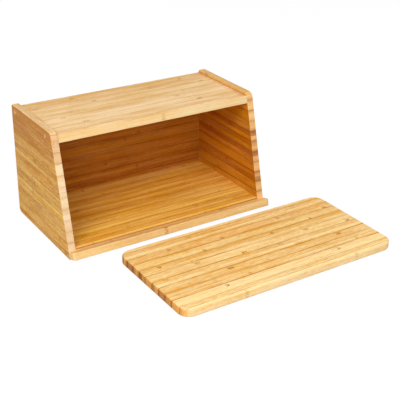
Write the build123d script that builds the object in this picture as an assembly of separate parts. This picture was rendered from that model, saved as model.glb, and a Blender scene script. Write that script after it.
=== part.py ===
from build123d import *
import math
import os

# A bread box of laminated bamboo with a loose board. The board leans on the sloping front as the
# lid, with its foot on the ledge, and lies on the table as a cutting board when the box is open.
# All lengths are in millimetres. X runs along the width, Y from the front to the back, Z up.

# ---------------------------------------------------------------- the case
case_width = 380.0          # over the outer faces of the two sides
case_height = 197.5         # table to the top of the sides
case_depth = 202.0          # front to back, at the foot
front_setback = 49.5        # how far the top of the sloping front lies behind its foot

side_thickness = 12.5
side_top_front_radius = 11.5
side_foot_back_radius = 8.0
side_top_back_radius = 3.0
side_foot_front_radius = 1.5

roof_thickness = 12.0
roof_drop = 5.0             # top of the sides down to the top of the roof
floor_thickness = 12.0
floor_lift = 4.0            # table up to the underside of the floor

back_thickness = 6.0
back_rebate = 5.0           # how far the back panel reaches into each panel round it
back_fit_gap = 0.2          # between the back panel and its rebate, all round

# ---------------------------------------------------------------- the ledge
ledge_height = 12.0         # up the slope of the front
ledge_reach = 17.5          # square to the slope of the front
ledge_start = 2.5           # up the slope, from the foot to the ledge's underside
ledge_end_radius = 4.0      # the two front corners, seen from above

# ---------------------------------------------------------------- the board
board_overhang = 11.75      # past the outer face of each side, when it closes the box
board_depth = 198.0
board_thickness = 14.5
board_corner_radius = 20.0
board_edge_radius = 3.0
board_shift = 76.0          # its middle, to the right of the case's middle, on the table
board_gap = 22.5            # between the ledge and the board, on the table

# ---------------------------------------------------------------- dowels
roof_dowel_diameter = 6.0
roof_dowel_depth = 22.0     # into each end of the roof
roof_dowel_back_inset = 13.0    # from the case's back to the rear dowels
roof_dowel_front_inset = 23.0   # from the front of the roof to the front dowels
floor_dowel_diameter = 6.0
floor_dowel_depth = 18.0    # into each end of the floor
floor_dowel_side_depth = 8.0    # into the side, which it doesn't pass through
floor_dowel_inset = 30.0    # from the front and from the back of the floor
ledge_dowel_diameter = 5.0
ledge_dowel_floor_depth = 8.0
ledge_dowel_depth = 11.0    # into the ledge
ledge_dowel_spacing = 120.0
ledge_dowel_count = 3
dowel_fit_gap = 0.05        # round each dowel, filled with glue
dowel_end_gap = 0.5         # past the buried end of each dowel

edge_radius = 1.0           # the eased edges of the case

# ---------------------------------------------------------------- sizes that follow
half_width = case_width / 2
inner_half_width = half_width - side_thickness
slope = math.atan2(front_setback, case_height)      # of the front, from upright
roof_top = case_height - roof_drop
roof_bottom = roof_top - roof_thickness
floor_top = floor_lift + floor_thickness
back_front = case_depth - back_thickness            # the back panel's inner face
board_width = case_width + 2 * board_overhang


def front_y(height):
    """The sloping front's Y at a height above the table."""
    return height * math.tan(slope)


# The front plane, with its own Y up the slope and its own Z out of the case.
front_plane = Plane(origin=(0, 0, 0), x_dir=(1, 0, 0), z_dir=(0, -math.cos(slope), math.sin(slope)))

ledge_front_y = ledge_start * math.sin(slope) - ledge_reach * math.cos(slope)
board_back_y = ledge_front_y - board_gap
board_middle_y = board_back_y - board_depth / 2

# The origin is on the table, in the middle of the case and the board together.
left_end = min(-half_width, board_shift - board_width / 2)
right_end = max(half_width, board_shift + board_width / 2)
origin = Vector((left_end + right_end) / 2, (case_depth + board_back_y - board_depth) / 2, 0)


# ---------------------------------------------------------------- helpers
def rounded_corner(outline, where, radius):
    """The outline with the corner nearest to a point rounded."""
    corner = outline.vertices().sort_by_distance(Vector(*where))[0]
    return fillet(corner, radius)


def bar_along_x(outline, low_x, high_x):
    """The solid that a (Y, Z) outline sweeps out between two X values."""
    return extrude(Plane.YZ.offset(low_x) * outline, high_x - low_x)


def sloped_board_outline(bottom, thickness):
    """The section of a level board that runs from the sloping front to the case's back."""
    top = bottom + thickness
    corners = ((front_y(bottom), bottom), (case_depth, bottom), (case_depth, top), (front_y(top), top))
    return Polygon(*corners, align=None)


def rod(start, direction, length, radius):
    """A round rod from a start point along a direction."""
    return Plane(origin=start, z_dir=direction) * extrude(Circle(radius), length)


def dowel(start, direction, length, diameter):
    """A wooden dowel with chamfered ends."""
    body = rod(start, direction, length, diameter / 2)
    return chamfer(body.edges().filter_by(GeomType.CIRCLE), diameter / 12)


def dowel_holes(places, diameter, end_gap):
    """The holes for dowels at (start, direction, length) places, longer by a gap at each end."""
    radius = diameter / 2 + dowel_fit_gap
    return [
        rod(Vector(*start) - Vector(*direction) * end_gap, direction, length + 2 * end_gap, radius)
        for start, direction, length in places
    ]


# ---------------------------------------------------------------- where the dowels lie
roof_middle = roof_bottom + roof_thickness / 2
floor_middle = floor_lift + floor_thickness / 2


def crosswise_places(places_y, height, side_depth, panel_depth):
    """Dowels along X that join both sides to a level board."""
    start_x = inner_half_width + side_depth
    return [
        ((-hand * start_x, y, height), (hand, 0, 0), side_depth + panel_depth)
        for hand in (1, -1)
        for y in places_y
    ]


roof_dowel_places = crosswise_places(
    (front_y(roof_middle) + roof_dowel_front_inset, case_depth - roof_dowel_back_inset),
    roof_middle,
    side_thickness,
    roof_dowel_depth,
)
floor_dowel_places = crosswise_places(
    (front_y(floor_middle) + floor_dowel_inset, case_depth - floor_dowel_inset),
    floor_middle,
    floor_dowel_side_depth,
    floor_dowel_depth,
)


def ledge_dowel_place(number):
    """A dowel square to the sloping front, from the floor's middle into the ledge."""
    x = (number - (ledge_dowel_count - 1) / 2) * ledge_dowel_spacing
    up_slope = floor_middle / math.cos(slope)
    start = front_plane.from_local_coords((x, up_slope, -ledge_dowel_floor_depth))
    return tuple(start), tuple(front_plane.z_dir), ledge_dowel_floor_depth + ledge_dowel_depth


ledge_dowel_places = [ledge_dowel_place(number) for number in range(ledge_dowel_count)]

roof_holes = dowel_holes(roof_dowel_places, roof_dowel_diameter, dowel_end_gap)
floor_holes = dowel_holes(floor_dowel_places, floor_dowel_diameter, dowel_end_gap)
ledge_holes = dowel_holes(ledge_dowel_places, ledge_dowel_diameter, dowel_end_gap)


# ---------------------------------------------------------------- pieces
def back_block(gap):
    """The back panel's block, or the pocket for it when grown by a gap at its four edges."""
    reach = back_rebate + gap
    width = 2 * (inner_half_width + reach)
    low = floor_top - reach
    height = roof_bottom + reach - low
    align = (Align.CENTER, Align.MIN, Align.MIN)
    return Pos(0, back_front, low) * Box(width, back_thickness, height, align=align)


def make_left_side_panel():
    """The left side: upright at the back, sloping at the front, with the back panel's rebate."""
    foot_front, foot_back = (0, 0), (case_depth, 0)
    top_back, top_front = (case_depth, case_height), (front_setback, case_height)
    outline = Polygon(foot_front, foot_back, top_back, top_front, align=None)
    outline = rounded_corner(outline, foot_front, side_foot_front_radius)
    outline = rounded_corner(outline, foot_back, side_foot_back_radius)
    outline = rounded_corner(outline, top_back, side_top_back_radius)
    outline = rounded_corner(outline, top_front, side_top_front_radius)
    panel = bar_along_x(outline, -half_width, -inner_half_width)
    panel = fillet(panel.faces().filter_by(Axis.X).edges(), edge_radius)
    return panel - [back_block(back_fit_gap)] - roof_holes - floor_holes


def make_roof_panel():
    """The roof, let in below the tops of the sides, its front flush with the slope."""
    outline = sloped_board_outline(roof_bottom, roof_thickness)
    front_low = (front_y(roof_bottom), roof_bottom)
    front_high = (front_y(roof_top), roof_top)
    for corner in (front_low, front_high, (case_depth, roof_top)):
        outline = rounded_corner(outline, corner, edge_radius)
    panel = bar_along_x(outline, -inner_half_width, inner_half_width)
    return panel - [back_block(back_fit_gap)] - roof_holes


def make_floor_panel():
    """The floor, clear of the table, its front flush with the slope behind the ledge."""
    outline = sloped_board_outline(floor_lift, floor_thickness)
    for corner in ((front_y(floor_top), floor_top), (case_depth, floor_lift)):
        outline = rounded_corner(outline, corner, edge_radius)
    panel = bar_along_x(outline, -inner_half_width, inner_half_width)
    return panel - [back_block(back_fit_gap)] - floor_holes - ledge_holes


def make_lid_ledge():
    """The strip across the foot of the front that carries the lid's lower edge."""
    align = (Align.CENTER, Align.MIN, Align.MIN)
    strip = Box(case_width, ledge_height, ledge_reach, align=align)
    front_corners = strip.edges().filter_by(Axis.Y).group_by(Axis.Z)[-1]
    strip = fillet(front_corners, ledge_end_radius)
    long_faces = strip.faces().filter_by(Axis.Y)
    eased = long_faces.edges().filter_by(lambda edge: edge.center().Z > edge_radius)
    strip = fillet(eased, edge_radius)
    return front_plane * Pos(0, ledge_start, 0) * strip - ledge_holes


def make_cutting_board():
    """The loose board, flat on the table with rounded corners and eased edges."""
    align = (Align.CENTER, Align.CENTER, Align.MIN)
    board = Box(board_width, board_depth, board_thickness, align=align)
    board = fillet(board.edges().filter_by(Axis.Z), board_corner_radius)
    board = fillet(board.faces().filter_by(Axis.Z).edges(), board_edge_radius)
    return Pos(board_shift, board_middle_y, 0) * board


def make_dowels(places, diameter):
    """The dowels at (start, direction, length) places, as one group of separate solids."""
    return Compound([dowel(*place, diameter).solid() for place in places])


# ---------------------------------------------------------------- build and write
left_side_panel = make_left_side_panel()
nodes = {
    "left_side_panel": left_side_panel,
    "right_side_panel": mirror(left_side_panel, Plane.YZ),
    "roof_panel": make_roof_panel(),
    "floor_panel": make_floor_panel(),
    "back_panel": back_block(0),
    "lid_ledge": make_lid_ledge(),
    "cutting_board": make_cutting_board(),
    "roof_dowels": make_dowels(roof_dowel_places, roof_dowel_diameter),
    "floor_dowels": make_dowels(floor_dowel_places, floor_dowel_diameter),
    "ledge_dowels": make_dowels(ledge_dowel_places, ledge_dowel_diameter),
}

os.makedirs("parts", exist_ok=True)
for name, shape in nodes.items():
    export_step(Pos(*(-origin)) * shape, f"parts/{name}.step")
    print(f"{name}: {len(shape.solids())} solid(s), {shape.volume / 1000:.1f} cm3")
print(f"origin at ({origin.X:.2f}, {origin.Y:.2f}) of the case, slope {math.degrees(slope):.2f} degrees")
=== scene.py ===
"""Looks of a bamboo bread box whose loose board is its lid.

The case stands open and the board lies in front of it. The packed solids give every place, and all
of them get finishes of laminated bamboo: strips glued side by side, with knots, streaks and joints.
"""

import math
from types import SimpleNamespace

import bpy
from bpy.props import FloatProperty, FloatVectorProperty, PointerProperty
from bpy.types import Operator, Panel, PropertyGroup
from mathutils import Matrix, Vector


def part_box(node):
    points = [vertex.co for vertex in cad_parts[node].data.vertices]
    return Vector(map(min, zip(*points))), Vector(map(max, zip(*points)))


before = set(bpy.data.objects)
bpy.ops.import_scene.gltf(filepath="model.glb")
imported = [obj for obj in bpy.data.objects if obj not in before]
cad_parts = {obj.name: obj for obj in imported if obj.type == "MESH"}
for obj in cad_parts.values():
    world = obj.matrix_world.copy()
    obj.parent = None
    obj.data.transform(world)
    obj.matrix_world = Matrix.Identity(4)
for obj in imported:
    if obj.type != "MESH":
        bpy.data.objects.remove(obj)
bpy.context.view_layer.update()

bl_info = {
    "name": "Bamboo bread box",
    "version": (1, 0, 0),
    "blender": (4, 5, 0),
    "location": "3D View > Sidebar > Bread box",
    "description": "Dresses a bamboo bread box with a loose cutting board for its lid",
    "category": "Object",
}

MM = 0.001
X, Y, Z = Vector((1, 0, 0)), Vector((0, 1, 0)), Vector((0, 0, 1))


# ------------------------------------------------------------------ sizes and colours
def length(name, description, default):
    """A length in metres that the panel shows."""
    return FloatProperty(name=name, description=description, default=default, min=0.0,
                         precision=5, subtype="DISTANCE", unit="LENGTH")


def linear(hex_colour):
    """An sRGB hex colour as linear red, green and blue, by the curve of the sRGB standard."""
    channels = [int(hex_colour[i:i + 2], 16) / 255 for i in (1, 3, 5)]
    return tuple(c / 12.92 if c <= 0.04045 else ((c + 0.055) / 1.055) ** 2.4 for c in channels)


def colour(name, description, hex_colour):
    """A colour that the panel shows, written as sRGB hex."""
    return FloatVectorProperty(name=name, description=description, default=linear(hex_colour),
                               min=0.0, max=1.0, size=3, subtype="COLOR")


class BambooSizes(PropertyGroup):
    """Sizes of the strips that the boards are glued from, and of the marks in them."""

    side_strip: length("Side strip", "Width of one strip of the sides", 8.78 * MM)
    board_strip: length("Board strip", "Width of one strip of the other boards", 9.6 * MM)
    dowel_strip: length("Dowel strip", "Width of the strips that the dowels are turned from", 9.0 * MM)
    joint: length("Joint", "Width of a glue line, drawn wider than the real 0.2 mm", 1.7 * MM)
    internode: length("Internode", "From one knot to the next along a strip", 215.0 * MM)
    knot: length("Knot", "Length of a knot's mark along the grain", 11.0 * MM)
    speck: length("Speck", "Size of the specks in a knot", 2.2 * MM)
    fibre_length: length("Fibre length", "Length of a fibre streak", 50.0 * MM)
    fibre_width: length("Fibre width", "Width of a streak, drawn wider than the real 0.4 mm", 1.5 * MM)
    cloud_length: length("Cloud length", "Length of a slow change of tone", 110.0 * MM)
    cloud_width: length("Cloud width", "Width of a slow change of tone", 2.6 * MM)
    drift_length: length("Drift length", "Length of a change of tone over a strip's full width", 85.0 * MM)
    dash_length: length("Dash length", "Length of a cut bundle of fibres", 10.0 * MM)
    dash_width: length("Dash width", "Width of a bundle, drawn wider than the real 0.5 mm", 1.7 * MM)
    pore_length: length("Pore length", "Length of a cut tube", 4.5 * MM)
    pore_width: length("Pore width", "Width of a tube, drawn wider than the real 0.2 mm", 0.55 * MM)


def tone(part, pale, deep, edge, end_pale, end_deep, dark, inner_shade_pale="#e09a18", inner_shade_deep="#9c4c00"):
    """The colours of one part's bamboo, as properties of a group; the inner ones are a painted shade, for
    the faces inside the case.
    """
    return {
        "pale": colour("Pale", f"{part}: wood from the inside of the stem", pale),
        "deep": colour("Deep", f"{part}: wood from under the stem's skin", deep),
        "edge": colour("Edge", f"{part}: the broad face of the outermost strip", edge),
        "end_pale": colour("Pale end", f"{part}: cut end of a pale strip", end_pale),
        "end_deep": colour("Deep end", f"{part}: cut end of a deep strip", end_deep),
        "inner_shade_pale": colour("Pale shade inside", f"{part}: pale wood in the painted shade inside the case", inner_shade_pale),
        "inner_shade_deep": colour("Deep shade inside", f"{part}: deep wood in the painted shade inside the case", inner_shade_deep),
        "dark": colour("Mark", f"{part}: glue lines and knots", dark),
    }


class LeftColours(PropertyGroup):
    """Colours of the left side."""

    __annotations__ = tone("Left side", "#fbc96a", "#c6802a", "#f0cc94", "#e6cba4", "#ce9a60", "#7e4212")


class RightColours(PropertyGroup):
    """Colours of the right side."""

    __annotations__ = tone("Right side", "#f2bf6c", "#cb8838", "#e8bc7c", "#eebe7c", "#a4622a", "#7c3c10",
                           "#d48a10", "#a45604")


class RoofColours(PropertyGroup):
    """Colours of the roof."""

    __annotations__ = tone("Roof", "#fddcac", "#e4ae62", "#e2ca9a", "#ecbc7c", "#b87a3c", "#9a5c18",
                           "#eab860", "#c88830")


class FloorColours(PropertyGroup):
    """Colours of the floor."""

    # Its edge colour is dark: painted shade in the gap between the floor's front edge and the ledge.
    __annotations__ = tone("Floor", "#f2c884", "#d49c50", "#b0702c", "#ecbc7c", "#b87a3c", "#7c3e08",
                           "#fccc62", "#d68c22")


class BackColours(PropertyGroup):
    """Colours of the back."""

    __annotations__ = tone("Back", "#f2c884", "#d49c50", "#f0c88c", "#ecbc7c", "#b87a3c", "#7c3e08",
                           "#bc760c", "#904800")


class LedgeColours(PropertyGroup):
    """Colours of the ledge."""

    # Its end colours are paler than the other parts' ends: painted light on the ledge's rounded ends, which
    # the lamps leave in shade.
    __annotations__ = tone("Ledge", "#f8d292", "#dc9e4c", "#eec484", "#fcd49a", "#f0bc7c", "#a04a0c")


class BoardColours(PropertyGroup):
    """Colours of the loose board."""

    __annotations__ = tone("Board", "#ffe0a0", "#e2a03c", "#fad69c", "#e8a450", "#84400e", "#985210")


class DowelColours(PropertyGroup):
    """Colours of the dowels."""

    __annotations__ = tone("Dowels", "#efc98f", "#dba866", "#efc98f", "#f0cd98", "#d8a468", "#a87038")


# ------------------------------------------------------------------ nodes
MATH = "ShaderNodeMath"
RANGE = "ShaderNodeMapRange"
MIX = "ShaderNodeMix"
NOISE = "ShaderNodeTexNoise"
CHANCE = "ShaderNodeTexWhiteNoise"
VECTOR = "ShaderNodeVectorMath"
JOIN = "ShaderNodeCombineXYZ"

# The Mix node's colour sockets, by their numbers, because its socket names repeat.
FIRST, SECOND, MIXED = 6, 7, 2


def add(tree, kind, *inputs, named=None, **settings):
    """Adds a node with its settings, and its inputs in order or by name: values, sockets or nodes."""
    made = tree.nodes.new(kind)
    for key, value in settings.items():
        setattr(made, key, value)
    for key, value in [*enumerate(inputs), *(named or {}).items()]:
        if isinstance(value, bpy.types.Node):
            value = value.outputs[0]
        if isinstance(value, bpy.types.NodeSocket):
            tree.links.new(value, made.inputs[key])
        else:
            made.inputs[key].default_value = value
    return made


# ------------------------------------------------------------------ pattern of laminated bamboo
# A tone runs from 0, the part's pale colour, to 1, its deep colour. A value with TONE in its name is
# what a mark at full strength adds to it, and one with POWER strengthens a mark. A SPAN is the two
# values between which a mark grows or fades, and a CURVE is an exponent.
PATTERN = "laminated_bamboo"
MASKS = ("End", "Inside", "Side", "Edge")
SEEDS = ("Seed", "Joint seed", "Knot seed")
PLAIN_BOARD = {
    "Contrast": 0.5,        # between one strip and the next
    "Fall": 0.0,            # deeper by this for each metre across the strips
    "Drift": 0.14,          # slow change along each strip
    "Skin": 0.4,            # between the two sides of a strip
    "Pairs": 0.6,           # darkness that a joint gains where two skin sides meet
    "Joints": 0.7,          # strength of all joints
    "Knots": 1.0,           # strength of all knots
    "Streaks": 0.2,         # fibre streaks
    "Dashes": 0.14,         # cut bundles of fibres
}
COLOURS = {
    "pale": "Pale",
    "deep": "Deep",
    "edge": "Edge wood",
    "end_pale": "End pale",
    "end_deep": "End deep",
    "inner_shade_pale": "Inner shade pale",
    "inner_shade_deep": "Inner shade deep",
    "dark": "Dark",
}

STRIPS_IN_SET = 5.0         # neighbours cut from one stem, which share half of their tone
SET_STEP = 0.5              # keeps the sets' chances apart from the strips'
NOISE_SHIFT = 97.0          # how far apart in the noise two strips may lie


def find_strip(tree, given, sizes):
    """Which strip a point is in, where in it, how near to its skin side, and the strip's chances.

    The strip's number is the whole part of across over the strip's width. Strips lie skin to skin,
    so the skin side is now at one side of a strip and now at the other.
    """
    at = SimpleNamespace()
    parts = add(tree, "ShaderNodeSeparateXYZ", given["Place"]).outputs
    at.along, at.across = parts["X"], parts["Y"]
    at.count = add(tree, MATH, at.across, given["Strip"], operation="DIVIDE")
    at.number = add(tree, MATH, at.count, operation="FLOOR")
    within = add(tree, MATH, at.count, operation="FRACT")
    at.skin = add(tree, MATH, at.count, 1.0, operation="PINGPONG")
    at.middle = add(tree, MATH, within, 0.5, operation="SUBTRACT")
    at.no_side = add(tree, MATH, 1.0, given["Side"], operation="SUBTRACT")

    seeded = add(tree, MATH, at.number, given["Seed"], operation="ADD")
    chance = add(tree, CHANCE, named={"W": seeded}, noise_dimensions="1D").outputs
    at.chances = add(tree, "ShaderNodeSeparateColor", chance["Color"]).outputs
    set_number = add(tree, MATH, at.number, STRIPS_IN_SET, operation="DIVIDE")
    set_number = add(tree, MATH, set_number, operation="FLOOR")
    set_number = add(tree, MATH, set_number, given["Seed"], operation="ADD")
    set_number = add(tree, MATH, set_number, SET_STEP, operation="ADD")
    set_chance = add(tree, CHANCE, named={"W": set_number}, noise_dimensions="1D")
    both_chances = add(tree, MATH, at.chances["Red"], set_chance, operation="ADD")
    at.tone = add(tree, MATH, both_chances, 1.0, operation="SUBTRACT")

    shift = add(tree, MATH, at.chances["Blue"], NOISE_SHIFT, operation="MULTIPLY")
    at.shift = add(tree, JOIN, 0.0, 0.0, shift)
    at.run = add(tree, MATH, at.along, 1 / sizes.drift_length, operation="MULTIPLY")
    return at


NOISE_SPAN = (0.36, 0.64)   # holds nearly all the values of a fine noise
DRIFT_SPAN = (0.3, 0.7)     # and of the slow one
DRIFT_STEP = 3.7            # from one strip's drift to the next one's, in the noise
PALE_LINE_SPAN = (0.35, 0.9)
PALE_LINE_TONE = -0.22
PORE_SPAN = (0.2, 0.9)
PORE_TONE = 0.16
CLOUD_TONE = 0.05           # away from the skin
SKIN_CLOUD_TONE = 0.12      # and so much more at the skin


def grain(tree, given, at, long, wide, detail, roughness):
    """Noise from -1 to 1, drawn out along the grain, with its own place in each strip."""
    scale = (1 / long, 1 / wide, 1 / wide)
    where = add(tree, VECTOR, given["Place"], scale, at.shift, operation="MULTIPLY_ADD")
    noise = add(tree, NOISE, where, named={"Scale": 1.0, "Detail": detail, "Roughness": roughness})
    return add(tree, RANGE, noise, *NOISE_SPAN, -1.0, 1.0)


def draw_figure(tree, given, at, sizes):
    """Fibre streaks, clouds, cut bundles, pores and drift, and their sum, the wood's figure."""
    seen = SimpleNamespace()
    seen.streak = grain(tree, given, at, sizes.fibre_length, sizes.fibre_width, detail=3.0, roughness=0.7)
    seen.cloud = grain(tree, given, at, sizes.cloud_length, sizes.cloud_width, detail=2.0, roughness=0.5)
    seen.speck = grain(tree, given, at, sizes.speck, sizes.speck, detail=2.0, roughness=0.6)
    dash = grain(tree, given, at, sizes.dash_length, sizes.dash_width, detail=2.0, roughness=0.6)
    pore = grain(tree, given, at, sizes.pore_length, sizes.pore_width, detail=1.0, roughness=0.5)
    seen.pore = add(tree, RANGE, pore, *PORE_SPAN, 0.0, 1.0)
    pale_line = add(tree, RANGE, seen.streak, *PALE_LINE_SPAN, 0.0, 1.0)
    lane = add(tree, MATH, at.number, DRIFT_STEP, operation="MULTIPLY")
    lane = add(tree, JOIN, at.run, lane, at.shift)
    drift = add(tree, NOISE, lane, named={"Scale": 1.0, "Detail": 1.0, "Roughness": 0.5})
    drift = add(tree, RANGE, drift, *DRIFT_SPAN, -1.0, 1.0)

    figure = add(tree, MATH, seen.streak, given["Streaks"], operation="MULTIPLY")
    figure = add(tree, MATH, dash, given["Dashes"], figure, operation="MULTIPLY_ADD")
    figure = add(tree, MATH, drift, given["Drift"], figure, operation="MULTIPLY_ADD")
    cloud_power = add(tree, MATH, at.skin, SKIN_CLOUD_TONE, CLOUD_TONE, operation="MULTIPLY_ADD")
    figure = add(tree, MATH, seen.cloud, cloud_power, figure, operation="MULTIPLY_ADD")
    figure = add(tree, MATH, pale_line, PALE_LINE_TONE, figure, operation="MULTIPLY_ADD")
    seen.figure = add(tree, MATH, seen.pore, PORE_TONE, figure, operation="MULTIPLY_ADD")
    return seen


MIDDLE_TONE = 0.45          # of a strip that is neither pale nor deep
SKIN_CURVE = 2.2            # above 1, so that the wood deepens mostly near the skin
SKIN_MEAN = 0.31            # about what that curve comes to on average over a strip
SKIN_POWERS = (0.3, 1.5)    # its least and its most, from strip to strip
SKIN_CLOUDS = 0.5           # how much the clouds strengthen or weaken it


def tone_strips(tree, given, at, seen):
    """Each strip's own tone, deeper towards its skin side, with the figure on it.

    The share that comes from the skin is kept as at.skin_tone, for the end grain.
    """
    depth = add(tree, MATH, at.tone, given["Contrast"], MIDDLE_TONE, operation="MULTIPLY_ADD")
    depth = add(tree, MATH, at.across, given["Fall"], depth, operation="MULTIPLY_ADD")
    curve = add(tree, MATH, at.skin, SKIN_CURVE, operation="POWER")
    curve = add(tree, MATH, curve, SKIN_MEAN, operation="SUBTRACT")
    strength = add(tree, RANGE, at.chances["Blue"], 0.0, 1.0, *SKIN_POWERS)
    at.skin_tone = add(tree, MATH, curve, strength, operation="MULTIPLY")
    cloudy = add(tree, MATH, seen.cloud, SKIN_CLOUDS, 1.0, operation="MULTIPLY_ADD")
    cloudy = add(tree, MATH, at.skin_tone, cloudy, operation="MULTIPLY")
    depth = add(tree, MATH, cloudy, given["Skin"], depth, operation="MULTIPLY_ADD")
    return add(tree, MATH, depth, seen.figure, operation="ADD")


JOINT_LEAST = 0.1           # darkness of the faintest joint
JOINT_CHANCE = 0.7          # and how much darker a joint's own chance can make it
JOINT_CHANCE_CURVE = 2.0    # above 1, so that few joints are dark
JOINT_CHANCE_STEP = 0.25    # keeps the joints' chances apart from the strips'
FADE_STEP = 2.9             # from one joint's fading to the next one's, in the noise
FADE_ROW = 0.5              # keeps that noise apart from the drift's
FADE_SCALE = 1.6            # joints fade in and out over a shorter run than the drift's
FADE_SPAN = (0.35, 0.62)
FADE_LEAST = 0.25           # what is left of a joint where it fades


def draw_joints(tree, given, at, sizes):
    """Thin glue lines on the faces, each of its own strength, which fade in and out."""
    number = add(tree, MATH, at.count, operation="ROUND")
    lane = add(tree, MATH, number, FADE_STEP, operation="MULTIPLY")
    lane = add(tree, JOIN, at.run, lane, FADE_ROW)
    fade = add(tree, NOISE, lane, named={"Scale": FADE_SCALE, "Detail": 1.0, "Roughness": 0.5})
    fade = add(tree, RANGE, fade, *FADE_SPAN, FADE_LEAST, 1.0)
    number = add(tree, MATH, number, given["Joint seed"], operation="ADD")
    number = add(tree, MATH, number, JOINT_CHANCE_STEP, operation="ADD")
    chance = add(tree, CHANCE, named={"W": number}, noise_dimensions="1D")
    chance = add(tree, MATH, chance, JOINT_CHANCE_CURVE, operation="POWER")
    off_middle = add(tree, MATH, at.middle, operation="ABSOLUTE")
    gap = add(tree, MATH, 0.5, off_middle, operation="SUBTRACT")
    gap = add(tree, MATH, gap, given["Strip"], operation="MULTIPLY")
    joint = add(tree, RANGE, gap, 0.0, sizes.joint / 2, 1.0, 0.0)
    power = add(tree, MATH, at.skin, given["Pairs"], JOINT_LEAST, operation="MULTIPLY_ADD")
    power = add(tree, MATH, chance, JOINT_CHANCE, power, operation="MULTIPLY_ADD")
    for factor in (power, fade, given["Joints"], at.no_side):
        joint = add(tree, MATH, joint, factor, operation="MULTIPLY")
    return joint


KNOT_REACHES = (3.2, 1.5)   # a mark's length over these is its reach each way, shortest to longest
KNOT_ASIDE = 0.2            # how far from the strip's middle a knot may lie, in strip widths
KNOT_NARROW = 2.1           # a strip's width over this is a knot's reach to each side
KNOT_BEND = 0.7             # how far its lines arch
KNOT_RAGGED = 0.3           # how far the specks roughen its lines
KNOT_END = 1.1              # where the mark has faded out, in reaches
KNOT_CURVE = 1.5            # above 1, so that few knots are strong
KNOT_LINE = 0.4             # where its two lines lie, in reaches
KNOT_LINE_WIDTH = 0.32      # from the middle of a line to where it ends, in reaches
KNOT_LINE_POWER = 1.6
KNOT_GROUND_POWER = 0.35    # between and beside the lines
SPECK_SPAN = (-0.5, 0.6)
SPECK_LEAST = 0.2           # what is left of a knot between its specks
KNOT_ON_SIDE = 0.45         # what is left of a knot on the faces across the strips


def draw_knots(tree, given, at, seen, sizes):
    """Knots: two thin broken lines across the strip with specks between, at the strip's own places."""
    number = add(tree, MATH, at.number, given["Knot seed"], operation="ADD")
    chance = add(tree, CHANCE, named={"W": number}, noise_dimensions="1D").outputs
    chance = add(tree, "ShaderNodeSeparateColor", chance["Color"]).outputs
    turns = add(tree, MATH, at.along, 1 / sizes.internode, chance["Green"], operation="MULTIPLY_ADD")
    turn = add(tree, MATH, turns, operation="FRACT")
    shortest, longest = (over * sizes.internode / sizes.knot for over in KNOT_REACHES)
    reaches_in_turn = add(tree, RANGE, chance["Red"], 0.0, 1.0, shortest, longest)
    from_knot = add(tree, MATH, turn, 0.5, operation="SUBTRACT")
    from_knot = add(tree, MATH, from_knot, reaches_in_turn, operation="MULTIPLY")
    aside = add(tree, RANGE, chance["Blue"], 0.0, 1.0, -KNOT_ASIDE, KNOT_ASIDE)
    aside = add(tree, MATH, at.middle, aside, operation="ADD")
    aside = add(tree, MATH, aside, KNOT_NARROW, operation="MULTIPLY")
    aside = add(tree, MATH, aside, at.no_side, operation="MULTIPLY")
    aside = add(tree, MATH, aside, 2.0, operation="POWER")
    from_knot = add(tree, MATH, aside, KNOT_BEND, from_knot, operation="MULTIPLY_ADD")
    from_knot = add(tree, MATH, seen.speck, KNOT_RAGGED, from_knot, operation="MULTIPLY_ADD")
    far = add(tree, MATH, from_knot, 2.0, operation="POWER")
    far = add(tree, MATH, far, aside, operation="ADD")
    smudge = add(tree, RANGE, far, 0.0, KNOT_END, 1.0, 0.0)
    gap = add(tree, MATH, from_knot, operation="ABSOLUTE")
    gap = add(tree, MATH, gap, KNOT_LINE, operation="SUBTRACT")
    gap = add(tree, MATH, gap, operation="ABSOLUTE")
    line = add(tree, RANGE, gap, 0.0, KNOT_LINE_WIDTH, 1.0, 0.0)
    line = add(tree, MATH, line, KNOT_LINE_POWER, KNOT_GROUND_POWER, operation="MULTIPLY_ADD")
    broken = add(tree, RANGE, seen.speck, *SPECK_SPAN, SPECK_LEAST, 1.0)
    size = add(tree, MATH, chance["Blue"], KNOT_CURVE, operation="POWER")
    size = add(tree, MATH, size, given["Knots"], operation="MULTIPLY")
    shown = add(tree, RANGE, given["Side"], 0.0, 1.0, 1.0, KNOT_ON_SIDE)
    size = add(tree, MATH, size, shown, operation="MULTIPLY")
    knot = add(tree, MATH, smudge, line, operation="MULTIPLY")
    knot = add(tree, MATH, knot, broken, operation="MULTIPLY")
    return add(tree, MATH, knot, size, operation="MULTIPLY")


DOT_SPAN = (0.15, 0.5)      # distances from a bundle's middle, in bundle widths
DOT_TONES = (0.05, 0.45)    # away from the skin, and at it
END_TONE = 0.3              # of a strip that is neither pale nor deep
END_STRIP_TONE = 0.7
END_SKIN_TONE = 0.45


def tone_ends(tree, given, at, sizes):
    """The end grain's tone: fibre bundles as dots, stronger towards the skin."""
    scale = (0.0, 1 / sizes.fibre_width, 1 / sizes.fibre_width)
    place = add(tree, VECTOR, given["Place"], scale, at.shift, operation="MULTIPLY_ADD")
    dots = add(tree, "ShaderNodeTexVoronoi", named={"Vector": place, "Scale": 1.0}).outputs
    dot = add(tree, RANGE, dots["Distance"], *DOT_SPAN, 1.0, 0.0)
    power = add(tree, RANGE, at.skin, 0.0, 1.0, *DOT_TONES)
    dot = add(tree, MATH, dot, power, operation="MULTIPLY")
    depth = add(tree, MATH, at.tone, END_STRIP_TONE, dot, operation="MULTIPLY_ADD")
    depth = add(tree, MATH, depth, END_TONE, operation="ADD")
    return add(tree, MATH, at.skin_tone, END_SKIN_TONE, depth, operation="MULTIPLY_ADD")


EDGE_TONE = 0.2             # of an edge face without marks
EDGE_FIGURE = 0.9           # how much of the figure the edge shows
EDGE_KNOT_TONE = 0.5
HUES = (0.496, 0.504)       # from strip to strip, where 0.5 leaves a colour as it is
RICHNESSES = (0.94, 1.06)   # of the clouds, where 1 leaves a colour as it is


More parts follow.
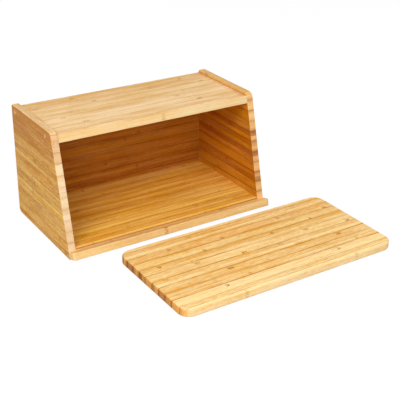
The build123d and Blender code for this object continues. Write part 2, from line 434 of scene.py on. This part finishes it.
def colour_wood(tree, given, at, seen, depth, end_depth, knot):
    """The wood's colour without its marks: outer or inner (the inner colours being painted shade), face,
    edge or end, and the strip's hue.
    """
    pale = {"Factor": given["Inside"], FIRST: given["Pale"], SECOND: given["Inner shade pale"]}
    deep = {"Factor": given["Inside"], FIRST: given["Deep"], SECOND: given["Inner shade deep"]}
    pale = add(tree, MIX, named=pale, data_type="RGBA").outputs[MIXED]
    deep = add(tree, MIX, named=deep, data_type="RGBA").outputs[MIXED]
    faces = {"Factor": depth, FIRST: pale, SECOND: deep}
    face_wood = add(tree, MIX, named=faces, data_type="RGBA").outputs[MIXED]
    edge_depth = add(tree, MATH, seen.figure, EDGE_FIGURE, EDGE_TONE, operation="MULTIPLY_ADD")
    edge_depth = add(tree, MATH, knot, EDGE_KNOT_TONE, edge_depth, operation="MULTIPLY_ADD", use_clamp=True)
    edges = {"Factor": edge_depth, FIRST: given["Edge wood"], SECOND: given["Deep"]}
    edge_wood = add(tree, MIX, named=edges, data_type="RGBA").outputs[MIXED]
    sides = {"Factor": given["Edge"], FIRST: face_wood, SECOND: edge_wood}
    side_wood = add(tree, MIX, named=sides, data_type="RGBA").outputs[MIXED]
    ends = {"Factor": end_depth, FIRST: given["End pale"], SECOND: given["End deep"]}
    end_wood = add(tree, MIX, named=ends, data_type="RGBA").outputs[MIXED]
    both = {"Factor": given["End"], FIRST: side_wood, SECOND: end_wood}
    wood = add(tree, MIX, named=both, data_type="RGBA").outputs[MIXED]
    hue = add(tree, RANGE, at.chances["Green"], 0.0, 1.0, *HUES)
    richness = add(tree, RANGE, seen.cloud, -1.0, 1.0, *RICHNESSES)
    tint = {"Hue": hue, "Saturation": richness, "Color": wood}
    return add(tree, "ShaderNodeHueSaturation", named=tint)


KNOT_TONE = 0.8
KNOT_MARK = 0.5             # how much of a knot is the mark's own colour
ROUGHNESS = 0.5             # satin, as oiled bamboo is
STREAK_ROUGHNESS = 0.04     # and so much more on a deep streak
END_ROUGHNESS = 0.14        # and on end grain, where the tubes are cut across
JOINT_HEIGHT = -1.0         # heights in shares of the relief
STREAK_HEIGHT = 0.3
PORE_HEIGHT = -0.35


def strips_group(sizes):
    """The pattern of laminated bamboo, which every board's material uses with its own values.

    Place is (along the grain, across the strips, through the board) in metres. The masks are 1 on
    end grain, on the inside of the case, where the inner colours paint its shade, on faces across
    the strips, and on the broad edge face.
    """
    tree = bpy.data.node_groups.new(PATTERN, "ShaderNodeTree")
    numbers = (*MASKS, "Strip", *SEEDS, *PLAIN_BOARD)
    taken = {"Place": "Vector", **dict.fromkeys(numbers, "Float")}
    taken.update(dict.fromkeys(COLOURS.values(), "Color"))
    for name, kind in taken.items():
        tree.interface.new_socket(name=name, socket_type="NodeSocket" + kind, in_out="INPUT")
    for name, kind in {"Color": "Color", "Roughness": "Float", "Height": "Float"}.items():
        tree.interface.new_socket(name=name, socket_type="NodeSocket" + kind, in_out="OUTPUT")

    given = add(tree, "NodeGroupInput").outputs
    at = find_strip(tree, given, sizes)
    seen = draw_figure(tree, given, at, sizes)
    depth = tone_strips(tree, given, at, seen)
    joint = draw_joints(tree, given, at, sizes)
    knot = draw_knots(tree, given, at, seen, sizes)
    depth = add(tree, MATH, knot, KNOT_TONE, depth, operation="MULTIPLY_ADD")
    knot = add(tree, MATH, knot, KNOT_MARK, operation="MULTIPLY", use_clamp=True)
    end_depth = tone_ends(tree, given, at, sizes)
    wood = colour_wood(tree, given, at, seen, depth, end_depth, knot)

    no_end = add(tree, MATH, 1.0, given["End"], operation="SUBTRACT")
    knot = add(tree, MATH, knot, no_end, operation="MULTIPLY")
    marks = add(tree, MATH, joint, knot, operation="MAXIMUM")
    marked = {"Factor": marks, FIRST: wood, SECOND: given["Dark"]}
    marked = add(tree, MIX, named=marked, data_type="RGBA").outputs[MIXED]
    rough = add(tree, MATH, seen.streak, STREAK_ROUGHNESS, ROUGHNESS, operation="MULTIPLY_ADD")
    rough = add(tree, MATH, given["End"], END_ROUGHNESS, rough, operation="MULTIPLY_ADD")
    height = add(tree, MATH, joint, JOINT_HEIGHT, operation="MULTIPLY")
    height = add(tree, MATH, seen.streak, STREAK_HEIGHT, height, operation="MULTIPLY_ADD")
    height = add(tree, MATH, seen.pore, PORE_HEIGHT, height, operation="MULTIPLY_ADD")
    add(tree, "NodeGroupOutput", marked, rough, height)
    return tree


# ------------------------------------------------------------------ material
# How far a face is turned to a direction is given as the cosine of the angle between the two.
TURNED = 0.6                # from here on it begins to count as turned there
TURN_SPAN = 0.2             # and so much further it does in full
END_SPAN = (0.5, 0.9)       # the same for end grain, which rounded edges pass into slowly
OPEN_SPAN = (0.5 * MM, 2.5 * MM)    # above the roof, where the sides turn to their outer colours; the painted inside shade reaches past the roof's top and paints a thin shadow along the seam
WOOD_IOR = 1.5
WOOD_SHEEN = 0.3            # weaker than a varnish
RELIEF = 0.1 * MM           # from a face down to the bottom of a joint
RELIEF_STRENGTH = 0.6


def bamboo(name, colours, axes, origin, strip, looks, inward=(0, 0, 0), edge_way=-1, edge_from=TURNED):
    """Laminated bamboo, planed, sanded and oiled: satin, with a fine streaky grain.

    axes are the frame's directions along the grain, across the strips and through the board, and
    origin is a point on a joint. looks are the board's own values of the pattern. Faces turned to
    inward get the inner colours, a painted shade for the inside of the case, as far up as the roof
    and a little above it, where they paint a shadow along its seam. Faces turned across the strips
    from edge_from on get the edge's colour: with edge_way 1 those that look along the second of the
    axes, and with -1 those that look against it.
    """
    group = bpy.data.node_groups.get(PATTERN) or strips_group(bpy.context.scene.bamboo_sizes)
    material = bpy.data.materials.new(name)
    material.use_nodes = True
    tree = material.node_tree
    shader = tree.nodes["Principled BSDF"]
    where = add(tree, "ShaderNodeTexCoord").outputs
    turn = Matrix(axes)
    shift = -(turn @ Vector(origin))
    place = add(tree, "ShaderNodeMapping", where["Object"], shift, turn.to_euler("XYZ"))
    facing = add(tree, VECTOR, where["Normal"], axes[0], operation="DOT_PRODUCT")
    facing = add(tree, MATH, facing.outputs["Value"], operation="ABSOLUTE")
    end = add(tree, RANGE, facing, *END_SPAN, 0.0, 1.0)
    aside = add(tree, VECTOR, where["Normal"], axes[1], operation="DOT_PRODUCT")
    edge = add(tree, MATH, aside.outputs["Value"], edge_way, operation="MULTIPLY")
    edge = add(tree, RANGE, edge, edge_from, edge_from + TURN_SPAN, 0.0, 1.0)
    aside = add(tree, MATH, aside.outputs["Value"], operation="ABSOLUTE")
    side = add(tree, RANGE, aside, TURNED, TURNED + TURN_SPAN, 0.0, 1.0)
    # Faces turned to inward get a painted shade: deeper, richer inner colours that stand in for the shade
    # and bounced light inside the case.
    inside = add(tree, VECTOR, where["Normal"], inward, operation="DOT_PRODUCT")
    inside = add(tree, RANGE, inside.outputs["Value"], TURNED, TURNED + TURN_SPAN, 0.0, 1.0)
    # The painted inside shade stops a little above the roof's top, so that a thin band of it paints the
    # shadow along the roof's seam.
    height = add(tree, "ShaderNodeSeparateXYZ", where["Object"]).outputs["Z"]
    roof_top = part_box("roof_panel")[1].z
    covered = add(tree, RANGE, height, *(roof_top + rise for rise in OPEN_SPAN), 1.0, 0.0)
    inside = add(tree, MATH, inside, covered, operation="MULTIPLY")

    values = {"Place": place, "End": end, "Inside": inside, "Side": side, "Edge": edge, "Strip": strip,
              **dict.fromkeys(SEEDS, looks["Seed"]), **PLAIN_BOARD, **looks}
    for key, socket in COLOURS.items():
        values[socket] = (*getattr(colours, key), 1.0)
    pattern = add(tree, "ShaderNodeGroup", named=values, node_tree=group).outputs
    relief = {"Strength": RELIEF_STRENGTH, "Distance": RELIEF, "Height": pattern["Height"]}
    bump = add(tree, "ShaderNodeBump", named=relief)
    tree.links.new(pattern["Color"], shader.inputs["Base Color"])
    tree.links.new(pattern["Roughness"], shader.inputs["Roughness"])
    tree.links.new(bump.outputs[0], shader.inputs["Normal"])
    shader.inputs["IOR"].default_value = WOOD_IOR
    shader.inputs["Specular IOR Level"].default_value = WOOD_SHEEN
    return material


def dress(name, material):
    """Gives a packed board its finish."""
    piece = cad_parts[name]
    piece.data.materials.clear()
    piece.data.materials.append(material)


# ------------------------------------------------------------------ pieces
# Where each board's strips lie, and how it differs from PLAIN_BOARD. A seed sets the order of pale
# and deep strips, which joints are dark, or where the knots are, about as the photo shows them.
SIDE_JOINT = 0.63 * MM      # from the foot of the sides up to their first joint
LEVEL_JOINT = -8.5 * MM     # from the back edge of the roof and the floor to their last joint
BACK_JOINT = 1.7 * MM       # from the foot of the back up to its first joint
BOARD_JOINT = -10.3 * MM    # from the loose board's back edge to its last joint
LEDGE_JOINT = 3.0 * MM      # moves the ledge's joint out, to 7.6 mm behind its front
LEDGE_KNOTS = 12.0 * MM     # moves the ledge's knots to the right
FRONT_SETBACK = 49.5 * MM   # how far the top of the sloping front lies behind its foot
# The floor's dark edge colour paints the shade in the gap above the ledge, and starts early on its rounded
# front edge.
FLOOR_SHADE_EDGE_FROM = 0.15      # the rounded front edge of the floor shows its edge's colour early
BOARD_EDGE_FROM = 0.3       # and so does that of the loose board

LEFT_LOOKS = {"Seed": 196960, "Joint seed": 320401, "Contrast": 0.42, "Fall": 2.1, "Skin": 0.2,
              "Drift": 0.16, "Pairs": 0.0, "Joints": 0.8, "Dashes": 0.2, "Streaks": 0.25}
RIGHT_LOOKS = {"Seed": 13472, "Contrast": 0.6}
ROOF_LOOKS = {"Seed": 177477, "Joint seed": 109342, "Knot seed": 39550, "Skin": 0.2, "Drift": 0.26,
              "Streaks": 0.16, "Joints": 0.45, "Knots": 1.6}
FLOOR_LOOKS = {"Seed": 388193, "Joints": 0.95, "Pairs": 0.3}
BACK_LOOKS = {"Seed": 44, "Joints": 0.5, "Contrast": 0.4}
LEDGE_LOOKS = {"Seed": 116240, "Drift": 0.16, "Joints": 0.0, "Streaks": 0.3, "Dashes": 0.2, "Knots": 3.0}
BOARD_LOOKS = {"Seed": 245897, "Joint seed": 310601, "Knot seed": 112987, "Contrast": 0.45, "Skin": 0.35,
               "Drift": 0.12, "Joints": 1.1, "Knots": 1.7, "Streaks": 0.3, "Dashes": 0.2}
DOWEL_LOOKS = {"Seed": 90, "Joints": 0.0, "Knots": 0.0}


class BREADBOX_OT_sides(Operator):
    """Dress the two sides"""

    bl_idname = "breadbox.sides"
    bl_label = "Sides"

    def execute(self, context):
        """Strips lie level, one on another, so their ends show on the sloping front."""
        scene = context.scene
        strip = scene.bamboo_sizes.side_strip
        for name, colours, looks, inward in (
            ("left_side_panel", scene.left_colours, LEFT_LOOKS, X),
            ("right_side_panel", scene.right_colours, RIGHT_LOOKS, -X),
        ):
            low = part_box(name)[0]
            origin = (low.x, low.y, low.z + SIDE_JOINT)
            finish = bamboo(name + "_oiled_bamboo", colours, (Y, Z, X), origin, strip, looks, inward,
                            edge_way=1)
            dress(name, finish)
        return {"FINISHED"}


class BREADBOX_OT_boards(Operator):
    """Dress the roof, the floor and the back"""

    bl_idname = "breadbox.boards"
    bl_label = "Roof, floor and back"

    def execute(self, context):
        """Their strips run from side to side."""
        scene = context.scene
        strip = scene.bamboo_sizes.board_strip
        for name, colours, looks, across, joint, inward, edge_from in (
            ("roof", scene.roof_colours, ROOF_LOOKS, Y, LEVEL_JOINT, -Z, TURNED),
            ("floor", scene.floor_colours, FLOOR_LOOKS, Y, LEVEL_JOINT, Z, FLOOR_SHADE_EDGE_FROM),
            ("back", scene.back_colours, BACK_LOOKS, Z, BACK_JOINT, -Y, TURNED),
        ):
            panel = name + "_panel"
            low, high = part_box(panel)
            origin = (low.x, high.y + joint - strip, low.z + joint)
            axes = (X, across, X.cross(across))
            finish = bamboo(panel + "_oiled_bamboo", colours, axes, origin, strip, looks, inward,
                            edge_from=edge_from)
            dress(panel, finish)
        return {"FINISHED"}


class BREADBOX_OT_ledge(Operator):
    """Dress the ledge"""

    bl_idname = "breadbox.ledge"
    bl_label = "Ledge"

    def execute(self, context):
        """One strip high and two strips deep, lying square to the slope."""
        scene = context.scene
        foot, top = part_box("left_side_panel")
        slope = math.atan2(FRONT_SETBACK, top.z - foot.z)
        up = Vector((0, math.sin(slope), math.cos(slope)))
        out = Vector((0, -math.cos(slope), math.sin(slope)))
        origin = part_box("lid_ledge")[0] + out * LEDGE_JOINT + X * LEDGE_KNOTS
        finish = bamboo("ledge_oiled_bamboo", scene.ledge_colours, (X, -out, up), origin,
                        scene.bamboo_sizes.board_strip, LEDGE_LOOKS)
        dress("lid_ledge", finish)
        return {"FINISHED"}


class BREADBOX_OT_board(Operator):
    """Dress the loose board"""

    bl_idname = "breadbox.board"
    bl_label = "Board"

    def execute(self, context):
        """Its strips run the long way."""
        scene = context.scene
        strip = scene.bamboo_sizes.board_strip
        low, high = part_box("cutting_board")
        origin = (low.x, high.y + BOARD_JOINT - strip, low.z)
        finish = bamboo("board_oiled_bamboo", scene.board_colours, (X, Y, Z), origin, strip, BOARD_LOOKS,
                        edge_from=BOARD_EDGE_FROM)
        dress("cutting_board", finish)
        return {"FINISHED"}


class BREADBOX_OT_dowels(Operator):
    """Dress the dowels"""

    bl_idname = "breadbox.dowels"
    bl_label = "Dowels"

    def execute(self, context):
        """Turned bamboo rods; only the roof's show, as pale round ends."""
        scene = context.scene
        strip = scene.bamboo_sizes.dowel_strip
        for name, axes in (
            ("roof_dowels", (X, Y, Z)),
            ("floor_dowels", (X, Y, Z)),
            ("ledge_dowels", (Y, X, -Z)),
        ):
            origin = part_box(name)[0]
            finish = bamboo(name + "_turned_bamboo", scene.dowel_colours, axes, origin, strip, DOWEL_LOOKS)
            dress(name, finish)
        return {"FINISHED"}


# ------------------------------------------------------------------ stage
WHITE = (*linear("#ffffff"), 1.0)
PAPER = (*linear("#c4c4c4"), 1.0)
FLOOR_HALF = 4.0            # metres
FLOOR_GLOW = 1.05           # strength of the light that the camera sees the floor by
GLOW_SHARE = 0.92           # of that light in what the camera sees; the rest is the matt paper
ROOM_LIGHT = 0.17           # of the white room on the object; the camera sees it as plain white

LAMP_DISTANCE = 2.0         # metres from the object's middle
LAMP_SIDE = 1.0             # metres
OBJECT_MIDDLE = Vector((0.0, 0.0, 0.08))

# Azimuth and elevation in degrees, and share of the light.
LAMPS = {
    "front_lamp": (8.0, 46.0, 0.34),
    "low_lamp": (-30.0, 18.0, 0.28),
    "left_lamp": (-60.0, 38.0, 0.58),
    "right_lamp": (95.0, 38.0, 0.34),
    "back_lamp": (190.0, 10.0, 0.38),
}

# The camera, as fitted to the corners of the case and the board in the photo.
SENSOR_WIDTH = 36.0         # millimetres
LENS = 79.785               # millimetres
CAMERA_PLACE = (-0.73149, -1.10395, 0.70633)    # metres
CAMERA_TURNS = (33.45, 26.21, 1.12)     # degrees to the right, down, and about its own line of sight


def lamp(name, azimuth, elevation, share):
    """A soft square lamp at a distance from the object, turned to it.

    Azimuth 0 is in front and 90 at the right. share is the light that it gives a surface turned to
    it, where 1 renders white as white: over a distance d that takes pi squared times d squared watts.
    """
    turn, rise = math.radians(azimuth), math.radians(elevation)
    way = Vector((math.sin(turn) * math.cos(rise), -math.cos(turn) * math.cos(rise), math.sin(rise)))
    data = bpy.data.lights.new(name, "AREA")
    data.size = LAMP_SIDE
    data.energy = share * (math.pi * LAMP_DISTANCE) ** 2
    lamp_object = bpy.data.objects.new(name, data)
    lamp_object.location = OBJECT_MIDDLE + way * LAMP_DISTANCE
    lamp_object.rotation_euler = way.to_track_quat("Z", "Y").to_euler()
    bpy.context.scene.collection.objects.link(lamp_object)


def white_paper():
    """Matt white paper: even and pale, without a sheen.

    The camera sees it mostly by a light of its own, so that it is as white as the photo's ground,
    and the matt rest keeps a soft shadow. The object gets only what the matt paper throws back.
    """
    paper = bpy.data.materials.new("white_paper")
    paper.use_nodes = True
    tree = paper.node_tree
    tree.nodes.clear()
    rays = add(tree, "ShaderNodeLightPath").outputs
    matt = add(tree, "ShaderNodeBsdfDiffuse", PAPER)
    glow = add(tree, "ShaderNodeEmission", WHITE, FLOOR_GLOW)
    share = add(tree, MATH, rays["Is Camera Ray"], GLOW_SHARE, operation="MULTIPLY")
    both = add(tree, "ShaderNodeMixShader", share, matt, glow)
    add(tree, "ShaderNodeOutputMaterial", both)
    return paper


def white_floor():
    """A wide level square under the object."""
    corners = [(-FLOOR_HALF, -FLOOR_HALF, 0), (FLOOR_HALF, -FLOOR_HALF, 0),
               (FLOOR_HALF, FLOOR_HALF, 0), (-FLOOR_HALF, FLOOR_HALF, 0)]
    mesh = bpy.data.meshes.new("floor")
    mesh.from_pydata(corners, [], [(0, 1, 2, 3)])
    mesh.materials.append(white_paper())
    floor = bpy.data.objects.new("floor", mesh)
    bpy.context.scene.collection.objects.link(floor)


def white_room():
    """A white world, which the camera sees in full and the object gets a little light from."""
    world = bpy.data.worlds.new("white_room")
    bpy.context.scene.world = world
    world.use_nodes = True
    tree = world.node_tree
    tree.nodes.clear()
    rays = add(tree, "ShaderNodeLightPath").outputs
    strength = add(tree, RANGE, rays["Is Camera Ray"], 0.0, 1.0, ROOM_LIGHT, 1.0)
    back = add(tree, "ShaderNodeBackground", WHITE, strength)
    add(tree, "ShaderNodeOutputWorld", back)


def photo_camera():
    """The camera at the photo's place, turned by its yaw, pitch and roll."""
    camera = bpy.data.cameras.new("photo_camera")
    camera.sensor_width = SENSOR_WIDTH
    camera.lens = LENS
    seat = bpy.data.objects.new("photo_camera", camera)
    yaw, pitch, roll = (math.radians(turn) for turn in CAMERA_TURNS)
    ahead = Vector((math.sin(yaw) * math.cos(pitch), math.cos(yaw) * math.cos(pitch), -math.sin(pitch)))
    level = Vector((math.cos(yaw), -math.sin(yaw), 0))
    upright = level.cross(ahead)
    right = level * math.cos(roll) + upright * math.sin(roll)
    up = upright * math.cos(roll) - level * math.sin(roll)
    turn = Matrix((right, up, -ahead)).transposed().to_4x4()
    seat.matrix_world = Matrix.Translation(CAMERA_PLACE) @ turn
    bpy.context.scene.collection.objects.link(seat)
    return seat


class BREADBOX_OT_stage(Operator):
    """Make the floor, the lights and the camera"""

    bl_idname = "breadbox.stage"
    bl_label = "Stage"

    def execute(self, context):
        """White floor that keeps a soft shadow, soft light from above and in front."""
        context.scene.view_settings.view_transform = "Standard"
        white_floor()
        white_room()
        for name, (azimuth, elevation, share) in LAMPS.items():
            lamp(name, azimuth, elevation, share)
        context.scene.camera = photo_camera()
        return {"FINISHED"}


class BREADBOX_PT_panel(Panel):
    """The bread box's sizes, colours and steps"""

    bl_idname = "BREADBOX_PT_panel"
    bl_label = "Bread box"
    bl_space_type = "VIEW_3D"
    bl_region_type = "UI"
    bl_category = "Bread box"

    def draw(self, context):
        for group in GROUPS:
            values = getattr(context.scene, group)
            self.layout.label(text=type(values).__doc__)
            for key in values.__annotations__:
                self.layout.prop(values, key)
        for step in STEPS:
            self.layout.operator(step.bl_idname)


STEPS = (
    BREADBOX_OT_sides,
    BREADBOX_OT_boards,
    BREADBOX_OT_ledge,
    BREADBOX_OT_board,
    BREADBOX_OT_dowels,
    BREADBOX_OT_stage,
)
GROUPS = {
    "bamboo_sizes": BambooSizes,
    "left_colours": LeftColours,
    "right_colours": RightColours,
    "roof_colours": RoofColours,
    "floor_colours": FloorColours,
    "back_colours": BackColours,
    "ledge_colours": LedgeColours,
    "board_colours": BoardColours,
    "dowel_colours": DowelColours,
}
CLASSES = (*GROUPS.values(), *STEPS, BREADBOX_PT_panel)


def register():
    """Registers the classes and hangs the sizes and colours on the scene."""
    for each in CLASSES:
        bpy.utils.register_class(each)
    for name, group in GROUPS.items():
        setattr(bpy.types.Scene, name, PointerProperty(type=group))


def unregister():
    """Takes them away again."""
    for name in GROUPS:
        delattr(bpy.types.Scene, name)
    for each in reversed(CLASSES):
        bpy.utils.unregister_class(each)


def main():
    """Makes everything, step by step."""
    register()
    for step in STEPS:
        area, name = step.bl_idname.split(".")
        getattr(getattr(bpy.ops, area), name)()


if __name__ == "__main__":
    main()
